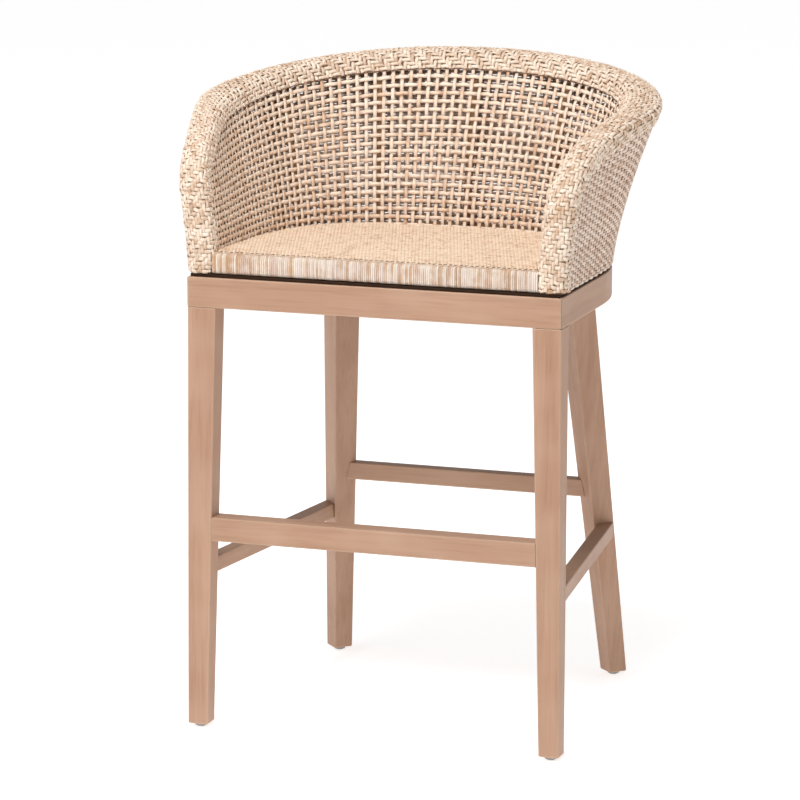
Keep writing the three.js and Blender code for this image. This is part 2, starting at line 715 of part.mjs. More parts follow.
function skin(name, outward) {
  const first = BAND_DEEP + SKIN_CLEAR;
  const runs = [...skinRuns.map((r) => first + (r * (HALF_RUN - first)) / 650), HALF_RUN];
  const columns = [
    ...runs.map((run) => ({ run, side: -1 })),
    ...runs.slice(0, -1).reverse().map((run) => ({ run, side: 1 })),
  ];
  const rows = 8;
  const rings = columns.map(({ run, side }) => {
    const f = shareAt(run, side);
    const top = skinTop(run);
    const near = [];
    const far = [];
    for (const z of range(TUB_BASE, top, rows)) {
      const share = SKIN / wallThick(f, z);
      near.push(inWall(f, z, outward ? 1 : 0));
      far.push(inWall(f, z, outward ? 1 - share : share));
    }
    return [...near, ...far.reverse()];
  });
  // bowed, so that no three points of an end cap lie on one line
  const flat = [
    ...range(0, 1, rows).map((t) => [0.2 * t * (1 - t), t]),
    ...range(1, 0, rows).map((t) => [0.1 + 0.2 * t * (1 - t), t]),
  ].reverse();
  const turned = rings.map((ring) => ring.slice().reverse());
  add(name, facingOut(loft(turned, flat)), rattan());
}

skin("tub_outer_weave", true);
skin("tub_inner_weave", false);

// ---------------------------------------------------------------- woven band over arms and rim
{
  const rings = wholeEdge(5, 9, 12).map((p) => {
    const f = shareAt(p.run, p.side);
    const wide = wallThick(f, p.z);
    const lip = BAND_WALL / wide;
    const out = BAND_PROUD / wide;
    const section = [
      [BAND_DEEP, 1 + out],
      [12, 1 + out],
      [4, 0.93],
      [0.6, 0.72],
      [0, 0.5],
      [0.6, 0.28],
      [4, 0.07],
      [12, -out],
      [BAND_DEEP, -out],
      [BAND_DEEP, lip],
      [14, lip],
      [8, 0.2],
      [BAND_WALL, 0.36],
      [BAND_WALL, 0.64],
      [8, 0.8],
      [14, 1 - lip],
      [BAND_DEEP, 1 - lip],
    ];
    return section.map(([deep, depth]) => {
      const q = moved(p, deep);
      return inWall(shareAt(q.run, p.side), q.z, depth);
    });
  });
  const flat = [
    [28, 40], [12, 40], [4, 37], [0.6, 29], [0, 20], [0.6, 11], [4, 3], [12, 0], [28, 0],
    [28, 5], [14, 5], [8, 8], [5.5, 14], [5.5, 26], [8, 32], [14, 35], [28, 35],
  ];
  add("tub_edge_band", facingOut(loft(rings, flat)), rattan());
}

// ---------------------------------------------------------------- frame inside the tub
// A tube of a circle along a list of points.
function tube(points, radius, sides) {
  const path = points.map((p) => new THREE.Vector3(...p));
  const flat = [];
  for (let k = 0; k < sides; k += 1) {
    const angle = (k / sides) * 2 * Math.PI;
    flat.push([radius * Math.cos(angle), radius * Math.sin(angle)]);
  }
  let across = new THREE.Vector3(1, 0, 0);
  const rings = path.map((centre, k) => {
    const before = path[Math.max(0, k - 1)];
    const after = path[Math.min(path.length - 1, k + 1)];
    const along = after.clone().sub(before).normalize();
    across = across.addScaledVector(along, -across.dot(along)).normalize();
    const up = along.clone().cross(across);
    return flat.map(([s, t]) => {
      const p = centre.clone().addScaledVector(across, s).addScaledVector(up, t);
      return [p.x, p.y, p.z];
    });
  });
  return facingOut(loft(rings, flat));
}

const poleDeep = BAND_WALL + 1.5 + RIM_POLE_R;
{
  const path = wholeEdge(5, 9, 14).map((p) => {
    const q = moved(p, poleDeep);
    return inWall(shareAt(q.run, p.side), q.z, 0.5);
  });
  add("tub_rim_pole", tube(path, RIM_POLE_R, 12), pole());
}

const hoopTop = TUB_BASE + HOOP_HEIGHT;
const hoopStart = BAND_DEEP + 3;
let hoop;
{
  const stops = range(hoopStart, HALF_RUN, 20);
  const inside = (run, side) => inWall(shareAt(run, side), TUB_BASE, HOOP_FROM).slice(0, 2);
  const outside = (run, side) => inWall(shareAt(run, side), TUB_BASE, HOOP_TO).slice(0, 2);
  const right = stops.map((run) => outside(run, 1));
  const left = stops.slice(0, -1).reverse().map((run) => outside(run, -1));
  const leftIn = stops.map((run) => inside(run, -1));
  const rightIn = stops.slice(0, -1).reverse().map((run) => inside(run, 1));
  hoop = solid(plate([...right, ...left, ...leftIn, ...rightIn], TUB_BASE, hoopTop));
}

// posts from the hoop up to the rim pole
const postRuns = [];
for (const place of POST_PLACES) {
  const run = mix(hoopStart + POST_R + 4, HALF_RUN, place);
  for (const side of place === 1 ? [1] : [-1, 1]) {
    postRuns.push({ run, side });
  }
}
postRuns.forEach(({ run, side }, k) => {
  const f = shareAt(run, side);
  const top = skinTop(run) - POST_R - 4;
  const path = range(hoopTop + POST_LIFT, top, 7).map((z) => inWall(f, z, 0.5));
  add(`tub_post_${k + 1}`, tube(path, POST_R, 10), pole());
});

// ---------------------------------------------------------------- seat inside the tub
const seatBack = seatLine.at(0)[1];
const seatFront = TUB_FRONT + WRAP_DEEP + GAP;
const dipAt = (y) => (-SEAT_DIP * (y - seatFront)) / (seatBack - seatFront);

// a plate whose chosen faces follow the seat's dip
function sloped(points, low, high, both) {
  const geometry = plate(points, low, high);
  const position = geometry.getAttribute("position");
  for (let k = 0; k < position.count; k += 1) {
    const isTop = position.getZ(k) > (low + high) / 2;
    if (both || isTop) {
      position.setZ(k, position.getZ(k) + dipAt(position.getY(k)));
    }
  }
  return geometry;
}

function seatOutline(inset, front) {
  const right = [];
  for (const f of range(1, 0, 44)) {
    const p = seatLine.inset(f, inset);
    if (p[1] > front + 1) {
      right.push([Math.abs(p[0]) < 1e-6 ? 0 : p[0], p[1]]);
    }
  }
  right.unshift([right[0][0], front]);
  const left = right.slice(0, -1).reverse().map(([x, y]) => [-x, y]);
  return [...right, ...left];
}

const weaveBottom = SEAT_HEIGHT - WEAVE_THICK;
const panelTop = weaveBottom - GAP;
const panelBottom = panelTop - PANEL_THICK;
const seatEdge = seatOutline(SEAT_CLEAR, seatFront);
add("seat_weave", sloped(seatEdge, weaveBottom, SEAT_HEIGHT, true), rattan());
add("seat_panel", sloped(seatEdge, panelBottom, panelTop, true), darkBoard());

const hoopOuter = seatEdge;
const hoopInner = seatOutline(SEAT_CLEAR + SEAT_HOOP_WIDE, seatFront);
let seatHoop;
{
  const outer = solid(sloped(hoopOuter, TUB_BASE, panelBottom - GAP, false));
  const hollow = hoopInner.map(([x, y]) => [x, y <= seatFront + 1e-6 ? y - 20 : y]);
  seatHoop = outer.subtract(solid(plate(hollow, TUB_BASE - 20, SEAT_HEIGHT + 20)));
}

// ---------------------------------------------------------------- screws
// four up through the board into the seat hoop
const screwPlaces = [
  [-1, 0.8], [1, 0.8], [-1, 0.2], [1, 0.2],
];
screwPlaces.forEach(([side, share], k) => {
  const [x, y] = seatLine.inset(side * share, SEAT_CLEAR + SEAT_HOOP_WIDE / 2);
  const tip = TUB_BASE + SCREW_IN_HOOP - 3;
  const shank = cylinder(x, y, BOARD_BOTTOM - GAP - 1, tip, SCREW_R, 16);
  const headTop = BOARD_BOTTOM - GAP;
  const head = cylinder(x, y, headTop - SCREW_HEAD, headTop, SCREW_HEAD_R, 16);
  add(`seat_screw_${k + 1}`, geometryOf(solid(shank).add(solid(head))), steel());
  const hole = solid(cylinder(x, y, BOARD_BOTTOM - 5, tip + 1, SCREW_R + HOLE_CLEAR, 16));
  board = board.subtract(hole);
  seatHoop = seatHoop.subtract(hole);
});

add("base_board", geometryOf(board), darkBoard());
add("seat_hoop", geometryOf(seatHoop), pole());
add("tub_base_hoop", geometryOf(hoop), pole());

// ---------------------------------------------------------------- wrapped front rail
const wrapHalf = SEAT_HALF - BAND_PROUD - GAP;
const wrapMiddle = [TUB_FRONT + WRAP_DEEP / 2, TUB_BASE + SEAT_FRAME_HEIGHT / 2];
{
  const frame = (wide, high, radius) =>
    roundedRect(wide, high, radius, 4).map(([y, z]) => new THREE.Vector2(y, z));
  const shape = new THREE.Shape(frame(WRAP_DEEP, SEAT_FRAME_HEIGHT, WRAP_EDGE));
  const insideDeep = WRAP_DEEP - 2 * WRAP_THICK;
  const insideHigh = SEAT_FRAME_HEIGHT - 2 * WRAP_THICK;
  const insideEdge = WRAP_EDGE - WRAP_THICK;
  shape.holes.push(new THREE.Path(frame(insideDeep, insideHigh, insideEdge).reverse()));
  const sleeve = new THREE.ExtrudeGeometry(shape, {
    depth: 2 * wrapHalf,
    bevelEnabled: false,
    steps: 1,
  });
  // the section's own axes become Y and Z, and its depth becomes X
  const turn = new THREE.Matrix4().set(0, 0, 1, -wrapHalf, 1, 0, 0, wrapMiddle[0],
    0, 1, 0, wrapMiddle[1], 0, 0, 0, 1);
  sleeve.applyMatrix4(turn);
  add("seat_front_wrap", sleeve, rattan());
  const clear = 2 * GAP;
  const railEnds = [-wrapHalf, wrapHalf].map((x) => [x, ...wrapMiddle]);
  const inner = bar(...railEnds, insideDeep - clear, insideHigh - clear,
    Math.max(0.4, insideEdge - GAP));
  add("seat_front_rail", inner, pole());
}

// ---------------------------------------------------------------- origin under the middle
const bounds = new THREE.Box3().setFromObject(stool);
const middle = bounds.getCenter(new THREE.Vector3());
stool.position.set(-middle.x, -middle.y, -bounds.min.z);

export default stool;
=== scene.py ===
"""A bar stool: a woven rattan tub seat on a pale wooden base with a footrest. Metres, +Z up."""

import math

import bpy
import numpy as np
from mathutils import Euler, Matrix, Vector


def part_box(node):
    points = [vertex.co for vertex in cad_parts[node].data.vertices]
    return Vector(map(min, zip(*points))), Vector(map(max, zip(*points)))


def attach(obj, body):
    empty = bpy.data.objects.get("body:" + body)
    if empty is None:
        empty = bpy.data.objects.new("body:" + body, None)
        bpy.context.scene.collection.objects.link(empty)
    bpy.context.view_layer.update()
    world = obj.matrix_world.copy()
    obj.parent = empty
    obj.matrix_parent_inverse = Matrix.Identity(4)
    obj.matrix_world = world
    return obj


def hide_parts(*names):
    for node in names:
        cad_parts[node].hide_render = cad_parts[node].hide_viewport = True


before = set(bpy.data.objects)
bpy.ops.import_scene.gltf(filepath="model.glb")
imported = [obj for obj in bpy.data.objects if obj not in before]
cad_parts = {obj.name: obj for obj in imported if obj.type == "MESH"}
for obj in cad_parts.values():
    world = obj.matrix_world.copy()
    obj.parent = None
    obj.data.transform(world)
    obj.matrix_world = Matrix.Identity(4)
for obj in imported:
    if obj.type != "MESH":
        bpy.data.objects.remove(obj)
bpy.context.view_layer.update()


# ---------------------------------------------------------------- legs, rails and apron
# The base is pale limed hardwood under a satin varnish. The legs are sawn square and
# tapered, and the rails run between them. The solids are the frame's own pieces.


def add_node(tree, kind, **values):
    made = tree.nodes.new(kind)
    for key, value in values.items():
        setattr(made, key, value)
    return made


def limed_wood(name, stretch, spin):
    """Pale open-grained wood whose grain runs along the axis with the small stretch."""
    finish = bpy.data.materials.new(name)
    finish.use_nodes = True
    tree = finish.node_tree
    shader = tree.nodes["Principled BSDF"]
    place = add_node(tree, "ShaderNodeTexCoord")
    turn = add_node(tree, "ShaderNodeMapping")
    turn.inputs["Scale"].default_value = stretch
    turn.inputs["Location"].default_value = spin
    tree.links.new(place.outputs["Object"], turn.inputs["Vector"])

    # broad figure, fine pores and cloudy liming
    figure = add_node(tree, "ShaderNodeTexNoise")
    figure.inputs["Scale"].default_value = 1.0
    figure.inputs["Detail"].default_value = 5.0
    figure.inputs["Roughness"].default_value = 0.62
    figure.inputs["Distortion"].default_value = 0.5
    tree.links.new(turn.outputs["Vector"], figure.inputs["Vector"])
    pores = add_node(tree, "ShaderNodeTexNoise")
    pores.inputs["Scale"].default_value = 7.0
    pores.inputs["Detail"].default_value = 3.0
    tree.links.new(turn.outputs["Vector"], pores.inputs["Vector"])
    cloud = add_node(tree, "ShaderNodeTexNoise")
    cloud.inputs["Scale"].default_value = 9.0
    cloud.inputs["Detail"].default_value = 2.0
    tree.links.new(place.outputs["Object"], cloud.inputs["Vector"])

    tone = add_node(tree, "ShaderNodeValToRGB")
    stops = tone.color_ramp.elements
    stops[0].position = 0.22
    stops[0].color = (0.335, 0.175, 0.101, 1)
    stops[1].position = 0.78
    stops[1].color = (0.46, 0.276, 0.176, 1)
    middle = stops.new(0.5)
    middle.color = (0.40, 0.226, 0.141, 1)
    tree.links.new(figure.outputs["Fac"], tone.inputs["Fac"])
    dark = add_node(tree, "ShaderNodeValToRGB")
    dark.color_ramp.elements[0].position = 0.33
    dark.color_ramp.elements[0].color = (0.80, 0.74, 0.70, 1)
    dark.color_ramp.elements[1].position = 0.5
    dark.color_ramp.elements[1].color = (1, 1, 1, 1)
    tree.links.new(pores.outputs["Fac"], dark.inputs["Fac"])
    pored = add_node(tree, "ShaderNodeMix", data_type="RGBA", blend_type="MULTIPLY")
    pored.inputs["Factor"].default_value = 0.5
    tree.links.new(tone.outputs["Color"], pored.inputs["A"])
    tree.links.new(dark.outputs["Color"], pored.inputs["B"])
    veil = add_node(tree, "ShaderNodeMapRange")
    veil.inputs["From Min"].default_value = 0.4
    veil.inputs["From Max"].default_value = 0.75
    veil.inputs["To Max"].default_value = 0.4
    tree.links.new(cloud.outputs["Fac"], veil.inputs["Value"])
    limed = add_node(tree, "ShaderNodeMix", data_type="RGBA")
    limed.inputs["B"].default_value = (0.51, 0.333, 0.238, 1)
    tree.links.new(veil.outputs["Result"], limed.inputs["Factor"])
    tree.links.new(pored.outputs["Result"], limed.inputs["A"])

    # painted highlight: corners and edges are mixed towards a paler tone, as where light catches them
    rounded = add_node(tree, "ShaderNodeBevel", samples=4)
    rounded.inputs["Radius"].default_value = 0.0026
    flat = add_node(tree, "ShaderNodeNewGeometry")
    same = add_node(tree, "ShaderNodeVectorMath", operation="DOT_PRODUCT")
    tree.links.new(rounded.outputs["Normal"], same.inputs[0])
    tree.links.new(flat.outputs["True Normal"], same.inputs[1])
    painted_edge_highlight = add_node(tree, "ShaderNodeMapRange")
    painted_edge_highlight.inputs["From Min"].default_value = 0.998
    painted_edge_highlight.inputs["From Max"].default_value = 0.9
    painted_edge_highlight.inputs["To Max"].default_value = 0.7
    tree.links.new(same.outputs["Value"], painted_edge_highlight.inputs["Value"])
    edged = add_node(tree, "ShaderNodeMix", data_type="RGBA")
    edged.inputs["B"].default_value = (0.68, 0.49, 0.35, 1)
    tree.links.new(painted_edge_highlight.outputs["Result"], edged.inputs["Factor"])
    tree.links.new(limed.outputs["Result"], edged.inputs["A"])
    tree.links.new(edged.outputs["Result"], shader.inputs["Base Color"])

    sheen = add_node(tree, "ShaderNodeMapRange")
    sheen.inputs["To Min"].default_value = 0.42
    sheen.inputs["To Max"].default_value = 0.62
    tree.links.new(pores.outputs["Fac"], sheen.inputs["Value"])
    tree.links.new(sheen.outputs["Result"], shader.inputs["Roughness"])
    relief = add_node(tree, "ShaderNodeBump")
    relief.inputs["Strength"].default_value = 0.25
    relief.inputs["Distance"].default_value = 0.0006
    tree.links.new(rounded.outputs["Normal"], relief.inputs["Normal"])
    tree.links.new(pores.outputs["Fac"], relief.inputs["Height"])
    tree.links.new(relief.outputs["Normal"], shader.inputs["Normal"])
    return finish


def dress(name, finish):
    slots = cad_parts[name].data.materials
    if len(slots) == 0:
        slots.append(finish)
    for k in range(len(slots)):
        slots[k] = finish


upright_wood = limed_wood("limed_wood_upright", (38, 38, 1.7), (0, 0, 0))
cross_wood = limed_wood("limed_wood_across", (1.7, 38, 38), (0.3, 0, 0))
deep_wood = limed_wood("limed_wood_front_to_back", (38, 1.7, 38), (0, 0.7, 0))
for place in ("front_left", "front_right", "rear_left", "rear_right"):
    dress("leg_" + place, upright_wood)
    dress("corner_block_" + place, cross_wood)
for name in ("apron_front", "apron_rear", "footrest_rail", "stretcher_rear"):
    dress(name, cross_wood)
for name in ("apron_left", "apron_right", "stretcher_left", "stretcher_right"):
    dress(name, deep_wood)


# ---------------------------------------------------------------- board, bolts, screws and glides
# A plywood board closes the apron. Its near-black colour is partly a dark stain and partly
# painted shade for the shadowed gap under the tub. Zinc bolts and screws hold the legs and
# the tub, and a grey nylon glide is tapped into the foot of each leg.


def plain_finish(name, light, deep, grain, rough, metal=0.0, shine=0.5):
    """A mottled finish for small or hidden pieces: two colours, with rough between two values."""
    finish = bpy.data.materials.new(name)
    finish.use_nodes = True
    tree = finish.node_tree
    shader = tree.nodes["Principled BSDF"]
    shader.inputs["Metallic"].default_value = metal
    shader.inputs["Specular IOR Level"].default_value = shine
    place = add_node(tree, "ShaderNodeTexCoord")
    mottle = add_node(tree, "ShaderNodeTexNoise")
    mottle.inputs["Scale"].default_value = grain
    mottle.inputs["Detail"].default_value = 4.0
    tree.links.new(place.outputs["Object"], mottle.inputs["Vector"])
    tone = add_node(tree, "ShaderNodeMix", data_type="RGBA")
    tone.inputs["A"].default_value = (*light, 1)
    tone.inputs["B"].default_value = (*deep, 1)
    tree.links.new(mottle.outputs["Fac"], tone.inputs["Factor"])
    tree.links.new(tone.outputs["Result"], shader.inputs["Base Color"])
    sheen = add_node(tree, "ShaderNodeMapRange")
    sheen.inputs["To Min"].default_value = rough[0]
    sheen.inputs["To Max"].default_value = rough[1]
    tree.links.new(mottle.outputs["Fac"], sheen.inputs["Value"])
    tree.links.new(sheen.outputs["Result"], shader.inputs["Roughness"])
    relief = add_node(tree, "ShaderNodeBump")
    relief.inputs["Strength"].default_value = 0.2
    relief.inputs["Distance"].default_value = 0.0004
    tree.links.new(mottle.outputs["Fac"], relief.inputs["Height"])
    tree.links.new(relief.outputs["Normal"], shader.inputs["Normal"])
    return finish


# painted shade: board and seat panel are near-black, partly a dark stain and partly the shade in the gaps
# they fill
board_stain_and_painted_shade = plain_finish("board_stain_and_painted_shade", (0.045, 0.023, 0.013), (0.022, 0.011, 0.006), 60,
                             (0.7, 0.9), shine=0.1)
zinc = plain_finish("zinc", (0.55, 0.55, 0.56), (0.35, 0.35, 0.37), 300, (0.3, 0.5), 1.0)
nylon = plain_finish("grey_nylon", (0.32, 0.31, 0.29), (0.22, 0.21, 0.20), 400, (0.4, 0.55))
bare_cane = plain_finish("bare_cane", (0.50, 0.30, 0.16), (0.33, 0.18, 0.09), 90, (0.5, 0.7))
dress("base_board", board_stain_and_painted_shade)
dress("seat_panel", board_stain_and_painted_shade)
for place in ("front_left", "front_right", "rear_left", "rear_right"):
    dress("leg_bolt_" + place, zinc)
    dress("glide_" + place, nylon)
for k in range(1, 5):
    dress("seat_screw_%d" % k, zinc)
for name in ("tub_rim_pole", "tub_base_hoop", "seat_hoop", "seat_front_rail"):
    dress(name, bare_cane)
for k in range(1, 10):
    dress("tub_post_%d" % k, bare_cane)


# ---------------------------------------------------------------- inner wall of the tub
# Flat rattan core, woven one over and one under round cane stakes. The stakes stand up
# from the seat hoop, and both sets tuck in under the woven band.

BACK_SHIFT = (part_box("glide_front_left")[0][1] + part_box("glide_front_left")[1][1]) / 2 - 0.007
TUB_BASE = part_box("tub_outer_weave")[0][2]
SEAT_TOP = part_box("seat_front_wrap")[1][2]
TUB_FRONT = 0.005


def outline(half, straight, bow, power):
    """The right half of a U in plan, from its front end to the middle of the back."""
    angle = np.linspace(0, math.pi / 2, 361)
    x = half * np.clip(np.cos(angle), 0, 1) ** (2 / power)
    y = straight + bow * np.sin(angle) ** (2 / power)
    x = np.concatenate([[half], x])
    y = np.concatenate([[TUB_FRONT], y])
    run = np.concatenate([[0], np.cumsum(np.hypot(np.diff(x), np.diff(y)))])
    return run / run[-1], x, y, run[-1]


foot_line = outline(0.295, 0.210, 0.284, 2.25)
rim_line = outline(0.369, 0.210, 0.331, 2.3)
SEAT_HALF = 0.258
SEAT_STRAIGHT = 0.105
SEAT_BOW = 0.300
SEAT_ROUND = 3.2
seat_line = outline(SEAT_HALF, SEAT_STRAIGHT, SEAT_BOW, SEAT_ROUND)
rim_in_line = outline(0.304, 0.200, 0.287, 2.7)
HALF_RUN = foot_line[3]


def on_line(line, run):
    share = np.clip(run / HALF_RUN, 0, 1)
    return np.interp(share, line[0], line[1]), np.interp(share, line[0], line[2])


def ease(t):
    t = np.clip(t, 0, 1)
    return t * t * (3 - 2 * t)


ARM_CORNER = 0.122
BEND_RISE = 0.108
BEND_RUN = 0.200
BACK_RISE = 0.062


def crest(run):
    """The height of the rim, left level at the arms."""
    rise = (1 - np.cos(math.pi * np.clip(run / HALF_RUN, 0, 1))) / 2
    return TUB_BASE + ARM_CORNER + BEND_RISE + BACK_RISE * rise


def wall(run, z, depth):
    """Right-hand wall points: depth 0 is the face by the sitter, 1 the outside."""
    t = np.maximum(0, (z - TUB_BASE) / (crest(run) - TUB_BASE))
    share = (0.38 + 0.62 * ease((run - 0.02) / 0.24)) * t**1.35
    (ax, ay), (bx, by) = on_line(foot_line, run), on_line(rim_line, run)
    ox, oy = ax + (bx - ax) * share, ay + (by - ay) * share
    low = SEAT_TOP - 0.005
    t = np.maximum(0, (z - low) / (crest(run) - 0.026 - low))
    share = (0.5 + 0.5 * ease((run - 0.02) / 0.2)) * t**1.2
    (ax, ay), (bx, by) = on_line(seat_line, run), on_line(rim_in_line, run)
    ix, iy = ax + (bx - ax) * share, ay + (by - ay) * share
    x = ix + (ox - ix) * depth
    y = iy + (oy - iy) * depth
    return np.stack([x, y + BACK_SHIFT, z + 0 * x], -1)


def around(way, z, depth, lift=0.0):
    """Wall points and outward directions. way runs from -1, the left arm, by the back to 1."""
    run = (1 - np.abs(way)) * HALF_RUN
    side = np.where(way < 0, -1.0, 1.0)
    here = wall(run, z, depth)
    step = 0.004
    along = wall(np.minimum(run + step, HALF_RUN), z, depth) - wall(np.maximum(run - step, 0), z, depth)
    rise = wall(run, z + step, depth) - wall(run, z - step, depth)
    out = np.cross(along, rise)
    out /= np.linalg.norm(out, axis=-1, keepdims=True)
    here = here + out * np.asarray(lift)[..., None]
    here[..., 0] *= side
    out[..., 0] *= side
    return here, out


# the rim as distance from the front and height, and the way into the wall at each point
def rim_points():
    run = np.concatenate([
        np.zeros(30),
        BEND_RUN * (1 - np.cos(np.linspace(0, math.pi / 2, 60)[1:])),
        np.linspace(BEND_RUN, HALF_RUN, 90)[1:],
    ])
    x = 1 - np.clip(run / BEND_RUN, 0, 1)
    z = crest(run) - BEND_RISE * (1 - np.sqrt(np.maximum(0, 1 - x * x)))
    z[:30] = np.linspace(TUB_BASE, TUB_BASE + ARM_CORNER, 30)
    dr, dz = np.gradient(run), np.gradient(z)
    dr[:29], dz[:29] = 0, 1
    dr[-1], dz[-1] = 1, 0
    size = np.hypot(dr, dz)
    travel = np.concatenate([[0], np.cumsum(np.hypot(np.diff(run), np.diff(z)))])
    return run, z, dz / size, -dr / size, travel


rim_run, rim_z, rim_in_run, rim_in_z, rim_travel = rim_points()
RIM_TRAVEL = rim_travel[-1]


def roof(run, deep):
    """The height at which a strand meets the band, deep below the rim."""
    r = (rim_run + deep * rim_in_run)[31:]
    z = (rim_z + deep * rim_in_z)[31:]
    return np.interp(run, r, z)


def strand_tree():
    """Sweeps a flat oval along every path, with its flat side to the path's face_way."""
    tree = bpy.data.node_groups.new("strand_sweep", "GeometryNodeTree")
    face = tree.interface
    face.new_socket(name="Geometry", in_out="INPUT", socket_type="NodeSocketGeometry")
    face.new_socket(name="Width", in_out="INPUT", socket_type="NodeSocketFloat")
    face.new_socket(name="Thickness", in_out="INPUT", socket_type="NodeSocketFloat")
    face.new_socket(name="Sides", in_out="INPUT", socket_type="NodeSocketInt")
    face.new_socket(name="Material", in_out="INPUT", socket_type="NodeSocketMaterial")
    face.new_socket(name="Geometry", in_out="OUTPUT", socket_type="NodeSocketGeometry")
    link = tree.links.new
    given = add_node(tree, "NodeGroupInput")
    result = add_node(tree, "NodeGroupOutput")
    curve = add_node(tree, "GeometryNodeMeshToCurve")
    link(given.outputs["Geometry"], curve.inputs["Mesh"])
    way = add_node(tree, "GeometryNodeInputNamedAttribute", data_type="FLOAT_VECTOR")
    way.inputs["Name"].default_value = "face_way"
    normal = add_node(tree, "GeometryNodeSetCurveNormal")
    normal.mode = "FREE"
    link(curve.outputs["Curve"], normal.inputs["Curve"])
    link(way.outputs["Attribute"], normal.inputs["Normal"])
    length = add_node(tree, "GeometryNodeSplineParameter")
    along = add_node(tree, "GeometryNodeStoreNamedAttribute", data_type="FLOAT", domain="POINT")
    along.inputs["Name"].default_value = "along"
    link(normal.outputs["Curve"], along.inputs["Geometry"])
    link(length.outputs["Length"], along.inputs["Value"])
    ring = add_node(tree, "GeometryNodeCurvePrimitiveCircle")
    ring.inputs["Radius"].default_value = 0.5
    link(given.outputs["Sides"], ring.inputs["Resolution"])
    size = add_node(tree, "ShaderNodeCombineXYZ")
    size.inputs["Z"].default_value = 1.0
    link(given.outputs["Width"], size.inputs["Y"])
    link(given.outputs["Thickness"], size.inputs["X"])
    oval = add_node(tree, "GeometryNodeTransform")
    link(ring.outputs["Curve"], oval.inputs["Geometry"])
    link(size.outputs["Vector"], oval.inputs["Scale"])
    turn = add_node(tree, "GeometryNodeSplineParameter")
    across = add_node(tree, "GeometryNodeStoreNamedAttribute", data_type="FLOAT", domain="POINT")
    across.inputs["Name"].default_value = "across"
    link(oval.outputs["Geometry"], across.inputs["Geometry"])
    link(turn.outputs["Factor"], across.inputs["Value"])
    sweep = add_node(tree, "GeometryNodeCurveToMesh")
    sweep.inputs["Fill Caps"].default_value = True
    link(along.outputs["Geometry"], sweep.inputs["Curve"])
    link(across.outputs["Geometry"], sweep.inputs["Profile Curve"])
    smooth = add_node(tree, "GeometryNodeSetShadeSmooth")
    link(sweep.outputs["Mesh"], smooth.inputs["Geometry"])
    real = add_node(tree, "GeometryNodeRealizeInstances")
    link(smooth.outputs["Geometry"], real.inputs["Geometry"])
    paint = add_node(tree, "GeometryNodeSetMaterial")
    link(real.outputs["Geometry"], paint.inputs["Geometry"])
    link(given.outputs["Material"], paint.inputs["Material"])
    link(paint.outputs["Geometry"], result.inputs["Geometry"])
    return tree


sweep_strands = strand_tree()
STRAND_SIDES = 6


def strands(name, paths, width, thickness, finish, closed=False):
    """One piece from many strands. A path is (points, directions, tint, dip): tint is the
    strand's own tone, and dip runs from 0 where it lies on top to 1 where it dives under; the finish paints
    shade by it."""
    points = np.concatenate([path[0] for path in paths])
    ways = np.concatenate([path[1] for path in paths])
    tints = np.concatenate([np.full(len(path[0]), path[2]) for path in paths])
    dips = np.concatenate([np.broadcast_to(path[3], len(path[0])) for path in paths])
    edges = []
    start = 0
    for path in paths:
        count = len(path[0])
        edges += [(start + k, start + k + 1) for k in range(count - 1)]
        if closed:
            edges.append((start + count - 1, start))
        start += count
    lines = bpy.data.meshes.new(name + "_paths")
    lines.from_pydata(points.tolist(), edges, [])
    lines.attributes.new("face_way", "FLOAT_VECTOR", "POINT").data.foreach_set("vector", ways.ravel())
    lines.attributes.new("tint", "FLOAT", "POINT").data.foreach_set("value", tints)
    lines.attributes.new("dip", "FLOAT", "POINT").data.foreach_set("value", dips)
    holder = bpy.data.objects.new(name + "_paths", lines)
    bpy.context.scene.collection.objects.link(holder)
    sweep = holder.modifiers.new("sweep", "NODES")
    sweep.node_group = sweep_strands
    wanted = {"Width": width, "Thickness": thickness, "Sides": STRAND_SIDES, "Material": finish}
    for item in sweep_strands.interface.items_tree:
        if item.in_out == "INPUT" and item.name in wanted:
            sweep[item.identifier] = wanted[item.name]
    bpy.context.view_layer.update()
    depsgraph = bpy.context.evaluated_depsgraph_get()
    mesh = bpy.data.meshes.new_from_object(holder.evaluated_get(depsgraph))
    bpy.data.objects.remove(holder)
    mesh.name = name
    piece = bpy.data.objects.new(name, mesh)
    bpy.context.scene.collection.objects.link(piece)
    return piece


